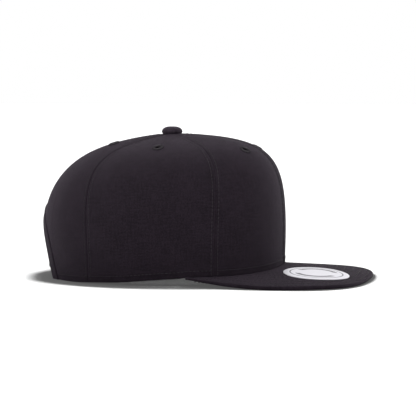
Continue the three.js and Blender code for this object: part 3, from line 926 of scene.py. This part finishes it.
# The visor's section at one place across: its top row, round its edge and back along its underside
def visorSection(across):
    thickness = visorThickness(across)
    inner, outer = visorPlan(across, 0), visorPlan(across, 1)
    width = (outer - inner).length
    outward = (outer - inner).normalized()
    flatEnd = 1 - visorForm["edgeRound"] / width
    rows, edge = visorGrid["out"], visorGrid["edge"]
    top, under = [], []
    for j in range(rows):
        share = flatEnd * j / (rows - 1)
        point = inner.lerp(outer, share)
        height = visorTop(point.x, point.y)
        dip = quiltRelief(edgeDistance(point.x, point.y))
        top.append(Vector((point.x, point.y, height + dip)))
        under.append(Vector((point.x, point.y, height - thickness - dip)))
    ring = []
    last = inner.lerp(outer, flatEnd)
    lastHeight = visorTop(last.x, last.y)
    for k in range(1, edge):
        angle = math.pi * k / edge
        reach = math.sin(angle) * visorForm["edgeRound"]
        drop = (1 - math.cos(angle)) / 2 * thickness
        seam = quiltForm["edgeSeam"] * bell(k - edge / 2, quiltForm["edgeSeamWidth"])
        point = last + outward * (reach - seam)
        ring.append(Vector((point.x, point.y, lastHeight - drop)))
    return top + ring + list(reversed(under))


def makeVisor():
    columns, endGap = visorGrid["across"], visorGrid["endGap"]
    points, flat = [], []
    for i in range(columns):
        section = visorSection(-1 + 2 * (i + endGap) / (columns - 1 + 2 * endGap))
        for point in section:
            points.append(point)
            flat.append((point.x, point.y))
    rows = len(section)
    faces = gridFaces(columns, rows)
    for i in range(columns - 1):
        faces.append((i * rows, i * rows + rows - 1, (i + 1) * rows + rows - 1, (i + 1) * rows))
    faces.append(tuple(range(rows)))
    faces.append(tuple(reversed(range((columns - 1) * rows, columns * rows))))
    visor = clothMesh("covered_visor", points, faces, flat)
    turnOutwards(visor)
    dress(visor, visorCloth, ["visor"], smoothAngle=50)


def quiltPath(distance, below):
    path = []
    for i in range(1, 400):
        share = i / 400
        here = visorEdgeAt(share)
        ahead = (visorEdgeAt(min(1, share + 0.004)) - visorEdgeAt(max(0, share - 0.004))).normalized()
        inward = Vector((-ahead.y, ahead.x, 0))
        if inward.y > 0:
            inward = -inward
        point = here + inward * distance
        azimuth = math.degrees(math.atan2(point.y, point.x))
        if point.length < rimRadius(azimuth) + 1.5 or point.y < 0:
            continue
        height = visorTop(point.x, point.y)
        if below:
            path.append((Vector((point.x, point.y, height - visorForm["thickness"])), Vector((0, 0, -1))))
        else:
            path.append((Vector((point.x, point.y, height - 0.1)), Vector((0, 0, 1))))
    mirrored = [(Vector((p.x, -p.y, p.z)), n) for p, n in reversed(path)]
    return path + mirrored


makeVisor()
quiltRows = []
for number in range(quiltForm["rows"]):
    for below in (False, True):
        quiltRows.append(quiltPath(quiltForm["first"] + number * quiltForm["pitch"], below))
sewStitches("visor_stitching", quiltRows)
print("visor covered and quilted")


# Sticker: plain silver foil with a ring and two blank arcs
stickerForm = {
    "radius": 26.0, "ahead": 32.5, "aside": 34.0, "thickness": 0.4, "lift": 0.62, "rimDrop": 0.2,
    "segments": 96,
}


def makeFoil():
    look = {
        "foil": (0.62, 0.61, 0.65), "print": (0.1, 0.095, 0.11), "ringAt": 0.8, "ringHalf": 0.02,
        "arcsAt": 0.6, "arcsHalf": 0.07, "arcsGap": 0.007, "brushing": 700, "metallic": 0.55,
        "smoothest": 0.3, "roughening": 0.2, "bump": 0.1, "bumpDepth": 0.0001,
    }
    material = bpy.data.materials.new("stickerFoil")
    tree, shader = principledIn(material)
    flat = mapSource(tree, "clothMap")
    split = addNode(tree, "ShaderNodeSeparateXYZ")
    tree.links.new(flat, split.inputs[0])
    length = addNode(tree, "ShaderNodeVectorMath", operation="LENGTH")
    tree.links.new(flat, length.inputs[0])
    share = mathNode(tree, "DIVIDE", length.outputs["Value"], stickerForm["radius"] * millimetre)
    ring = mathNode(tree, "COMPARE", share, look["ringAt"])
    ring.node.inputs[2].default_value = look["ringHalf"]
    arcs = mathNode(tree, "COMPARE", share, look["arcsAt"])
    arcs.node.inputs[2].default_value = look["arcsHalf"]
    wide = mathNode(tree, "GREATER_THAN", mathNode(tree, "ABSOLUTE", split.outputs["Y"]), look["arcsGap"])
    marks = mathNode(tree, "MAXIMUM", ring, mathNode(tree, "MULTIPLY", arcs, wide))
    tree.links.new(mixNode(tree, marks, look["foil"], look["print"]), shader.inputs["Base Color"])
    brushed = noiseIn(tree, flat, look["brushing"])
    tree.links.new(scaled(tree, brushed, look["roughening"], look["smoothest"]), shader.inputs["Roughness"])
    shader.inputs["Metallic"].default_value = look["metallic"]
    addBump(tree, shader, brushed, look["bump"], look["bumpDepth"])
    return material


def makeSticker():
    form = stickerForm
    centre = Vector((crownForm["front"] + form["ahead"], -form["aside"], 0))
    points, flat = [], []
    rings = [0.0, 0.2, 0.4, 0.55, 0.7, 0.82, 0.93, 0.985, 1.0]
    for i in range(form["segments"]):
        angle = 2 * math.pi * i / form["segments"]
        for ring in rings[1:]:
            spot = centre + Vector((math.cos(angle), math.sin(angle), 0)) * form["radius"] * ring
            rim = form["rimDrop"] * smoothstep(ring, 0.95, 1.0)
            points.append(Vector((spot.x, spot.y, visorTop(spot.x, spot.y) + form["lift"] - rim)))
            flat.append((spot.x - centre.x, spot.y - centre.y))
    count = len(rings) - 1
    points.append(Vector((centre.x, centre.y, visorTop(centre.x, centre.y) + form["lift"])))
    flat.append((0, 0))
    faces = []
    for i in range(form["segments"]):
        after = (i + 1) % form["segments"]
        faces.append((len(points) - 1, i * count, after * count))
        for j in range(count - 1):
            faces.append((i * count + j, i * count + j + 1, after * count + j + 1, after * count + j))
    sticker = clothMesh("foil_sticker", points, faces, flat)
    applyModifier(sticker, "SOLIDIFY", thickness=form["thickness"] * millimetre, offset=-1)
    turnOutwards(sticker)
    dress(sticker, makeFoil(), ["visor_sticker"], smoothAngle=30)


makeSticker()
print("sticker laid")


# Binding: a folded tape over the edge of the back opening, sewn down along both its edges
tapeForm = {"rise": 0.5, "steps": 90, "length": 150, "stitchIn": 1.2, "stitchOut": 6.8}


# The crown's surface behind a given side place and height, and which way is out there
def backSurface(y, z, lift):
    azimuth = 180 - math.degrees(math.asin(min(0.99, abs(y) / 100)))
    for _ in range(12):
        radius = crownPointAtHeight(azimuth, max(z, 0.01), 0).xy.length
        azimuth = 180 - math.degrees(math.asin(min(0.99, abs(y) / radius)))
    point = crownPointAtHeight(azimuth, max(z, 0.01), 0)
    out = crownPointAtHeight(azimuth, max(z, 0.01), -1) - point
    point += out.normalized() * (lift + crownForm["puff"] * 0.6)
    return Vector((point.x, point.y if y > 0 else -point.y, z))


def tapeSection():
    lip, wide, rise = openingForm["lip"], openingForm["tape"], tapeForm["rise"]
    outer = [(wide, -0.5), (wide - 0.1, rise * 0.5), (wide - 0.8, rise * 0.95), (wide * 0.6, rise * 0.92)]
    outer += [(wide * 0.3, rise * 0.95), (0.4, rise * 1.05), (-lip * 0.6, rise * 0.8), (-lip, 0.1)]
    inner = [(-lip, -crownForm["wall"] * 0.7), (-lip * 0.7, -crownForm["wall"]), (-0.2, -crownForm["wall"])]
    return outer + inner + [(-0.1, -0.6), (0.1, -0.5), (wide * 0.5, -0.5)]


def makeBinding():
    section = tapeSection()
    steps = tapeForm["steps"]
    points, flat = [], []
    for i in range(steps + 1):
        share = i / steps
        for k, (grown, lift) in enumerate(section):
            spot = openingPoint(share, grown)
            points.append(backSurface(spot.x, spot.y, lift))
            flat.append((grown + lift * 0.5, share * tapeForm["length"]))
    rows = len(section)
    faces = gridFaces(steps + 1, rows)
    for i in range(steps):
        faces.append((i * rows + rows - 1, (i + 1) * rows + rows - 1, (i + 1) * rows, i * rows))
    faces.append(tuple(range(rows)))
    faces.append(tuple(reversed(range(steps * rows, (steps + 1) * rows))))
    tape = clothMesh("opening_tape", points, faces, flat)
    turnOutwards(tape)
    dress(tape, tapeCloth, ["opening_binding"], smoothAngle=50)
    rowsOfStitches = []
    for grown in (tapeForm["stitchIn"], tapeForm["stitchOut"]):
        path = []
        for i in range(161):
            spot = openingPoint(0.01 + 0.98 * i / 160, grown)
            here = backSurface(spot.x, spot.y, tapeForm["rise"])
            path.append((here, (backSurface(spot.x, spot.y, tapeForm["rise"] + 1) - here).normalized()))
        rowsOfStitches.append(path)
    sewStitches("tape_stitching", rowsOfStitches)


makeBinding()
print("back opening bound")


# Sweatband: a folded cotton band inside the rim, open at the back
bandForm = {
    "height": 32.0, "cloth": 0.9, "lift": 0.8, "endAt": 152.0, "overStrap": (115.0, 142.0),
    "strapRoom": 1.6, "ripple": 0.25, "columns": 260,
}


def bandInset(azimuth):
    overStrap = smoothstep(abs(azimuth), *bandForm["overStrap"])
    return crownForm["wall"] + crownForm["seatGap"] + overStrap * bandForm["strapRoom"]


def makeSweatband():
    columns = bandForm["columns"]
    heights = [0, 0.01, 0.03, 0.06, 0.1, 0.2, 0.3, 0.4, 0.5, 0.6, 0.7]
    heights += [0.78, 0.82, 0.86, 0.9, 0.95, 0.98, 0.995, 1]
    points, flat = [], []
    for i in range(columns):
        azimuth = -bandForm["endAt"] + 2 * bandForm["endAt"] * i / (columns - 1)
        inset = bandInset(azimuth)
        base = rimHeight(azimuth, inset) + bandForm["lift"]
        for share in heights:
            wave = bandForm["ripple"] * math.sin(azimuth * 0.7) * math.sin(math.pi * share)
            fold = 0.35 * (smoothstep(share, 0.78, 0.84) - smoothstep(share, 0.86, 0.9))
            extra = 0.35 + wave * 0.5 + bandForm["ripple"] * 0.5 - fold * 0.5
            points.append(crownPointAtHeight(azimuth, base + share * bandForm["height"], inset + extra * 0.5))
            flat.append((azimuth * 1.5, share * bandForm["height"]))
    band = clothMesh("cotton_sweatband", points, gridFaces(columns, len(heights)), flat)
    applyModifier(band, "SOLIDIFY", thickness=bandForm["cloth"] * millimetre, offset=-1)
    turnOutwards(band)
    dress(band, bandCloth, ["sweatband"], smoothAngle=50)


makeSweatband()
print("sweatband set in")


# Snap straps: the moulded straps with their edges broken, as they come out of the mould
strapForm = {"weld": 0.01, "flat": 3.0, "edge": 0.28, "edgeAngle": 35.0}


def makeStraps():
    for sideName in sideNames.values():
        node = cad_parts[f"snap_strap_{sideName}"]
        strap = bpy.data.objects.new(f"moulded_strap_{sideName}", node.data.copy())
        bpy.context.scene.collection.objects.link(strap)
        strap.data.transform(node.matrix_world)
        pick(strap)
        bpy.ops.object.mode_set(mode="EDIT")
        bpy.ops.mesh.select_all(action="SELECT")
        bpy.ops.mesh.remove_doubles(threshold=strapForm["weld"] * millimetre)
        bpy.ops.mesh.dissolve_limited(angle_limit=math.radians(strapForm["flat"]))
        bpy.ops.mesh.normals_make_consistent(inside=False)
        bpy.ops.object.mode_set(mode="OBJECT")
        applyModifier(
            strap, "BEVEL", width=strapForm["edge"] * millimetre, segments=2, limit_method="ANGLE",
            angle_limit=math.radians(strapForm["edgeAngle"]))
        dress(strap, strapPlastic, [f"snap_strap_{sideName}"], smoothAngle=30)


makeStraps()
print("straps fastened")


# Studio: a white floor in a bright room, with soft light from above, from ahead and from beside the camera,
# and a shadow painted into the floor's colour round the cap's foot
studio = {
    "room": 1.0, "floor": (0.82, 0.82, 0.82), "floorSize": 24, "floorGlow": 0.08,
    # painted shadow: the floor's colour turns near-black where the cap stands close above it
    "paintedShadowColour": (0.03, 0.03, 0.03), "paintedShadowReach": 0.03, "paintedShadowDarkAt": 0.8, "paintedShadowClearAt": 0.94,
}
# Each sun's azimuth, elevation, strength and softness
suns = {
    "overheadSoftbox": (0, 82, 1.8, 50), "frontSoftbox": (80, 30, 0.5, 40), "lowFill": (-12, 6, 1.2, 30),
}
shot = {
    "azimuth": 13.0, "elevation": 6.0, "distance": 1.5, "scale": 1.22, "rightOfAxis": 29.3,
    "aboveFloor": 55.7, "imageWidth": 416, "sensor": 36.0,
}


# Which way a camera or a light stands from the cap: 0 is on its right, 90 ahead of it
def directionTo(azimuth, elevation):
    a, e = math.radians(azimuth), math.radians(elevation)
    return Vector((math.sin(a) * math.cos(e), -math.cos(a) * math.cos(e), math.sin(e)))


def makeFloor():
    deselectAll()
    bpy.ops.mesh.primitive_plane_add(size=studio["floorSize"], location=(0, 0, 0))
    floor = bpy.context.object
    floor.name = "studio_floor"
    material = bpy.data.materials.new("studioFloorPaintedShadow")
    tree, shader = principledIn(material)
    # Painted contact shadow: where ambient occlusion finds the cap close by, the floor's colour is mixed
    # towards a near-black, darker the nearer it is
    paintedShadowOcclusion = addNode(tree, "ShaderNodeAmbientOcclusion", samples=16)
    paintedShadowOcclusion.inputs["Distance"].default_value = studio["paintedShadowReach"]
    spread = addNode(tree, "ShaderNodeMapRange", interpolation_type="SMOOTHSTEP")
    tree.links.new(paintedShadowOcclusion.outputs["AO"], spread.inputs["Value"])
    spread.inputs["From Min"].default_value = studio["paintedShadowDarkAt"]
    spread.inputs["From Max"].default_value = studio["paintedShadowClearAt"]
    floorWithPaintedShadow = mixNode(tree, spread.outputs["Result"], studio["paintedShadowColour"], studio["floor"])
    tree.links.new(floorWithPaintedShadow, shader.inputs["Base Color"])
    shader.inputs["Roughness"].default_value = 0.9
    shader.inputs["Specular IOR Level"].default_value = 0.1
    shader.inputs["Emission Color"].default_value = (1, 1, 1, 1)
    shader.inputs["Emission Strength"].default_value = studio["floorGlow"]
    floor.data.materials.append(material)


def makeWorld():
    world = bpy.data.worlds.new("studioRoom")
    bpy.context.scene.world = world
    world.use_nodes = True
    background = world.node_tree.nodes["Background"]
    background.inputs["Color"].default_value = (1, 1, 1, 1)
    background.inputs["Strength"].default_value = studio["room"]


def addSun(name, azimuth, elevation, strength, softness):
    data = bpy.data.lights.new(name, "SUN")
    data.energy = strength
    data.angle = math.radians(softness)
    sun = bpy.data.objects.new(name, data)
    bpy.context.scene.collection.objects.link(sun)
    towards = directionTo(azimuth, elevation)
    sun.location = towards * 2
    sun.rotation_mode = "QUATERNION"
    sun.rotation_quaternion = towards.to_track_quat("Z", "Y")


def makeCamera():
    back = directionTo(shot["azimuth"], shot["elevation"])
    right = directionTo(shot["azimuth"] + 90, 0)
    above = back.cross(right)
    foot = Vector((axisX, 0, 0))
    target = foot + right * shot["rightOfAxis"] * millimetre + above * shot["aboveFloor"] * millimetre
    data = bpy.data.cameras.new("photoCamera")
    data.sensor_width = shot["sensor"]
    data.lens = shot["sensor"] * shot["scale"] * shot["distance"] / millimetre / shot["imageWidth"]
    camera = bpy.data.objects.new("photoCamera", data)
    bpy.context.scene.collection.objects.link(camera)
    camera.location = foot + back * shot["distance"]
    camera.rotation_mode = "QUATERNION"
    camera.rotation_quaternion = (camera.location - target).to_track_quat("Z", "Y")
    data.clip_start, data.clip_end = 0.05, 60
    bpy.context.scene.camera = camera


makeFloor()
makeWorld()
for sunName, setting in suns.items():
    addSun(sunName, *setting)
makeCamera()
bpy.context.scene.view_settings.view_transform = "Standard"
print("studio lit")
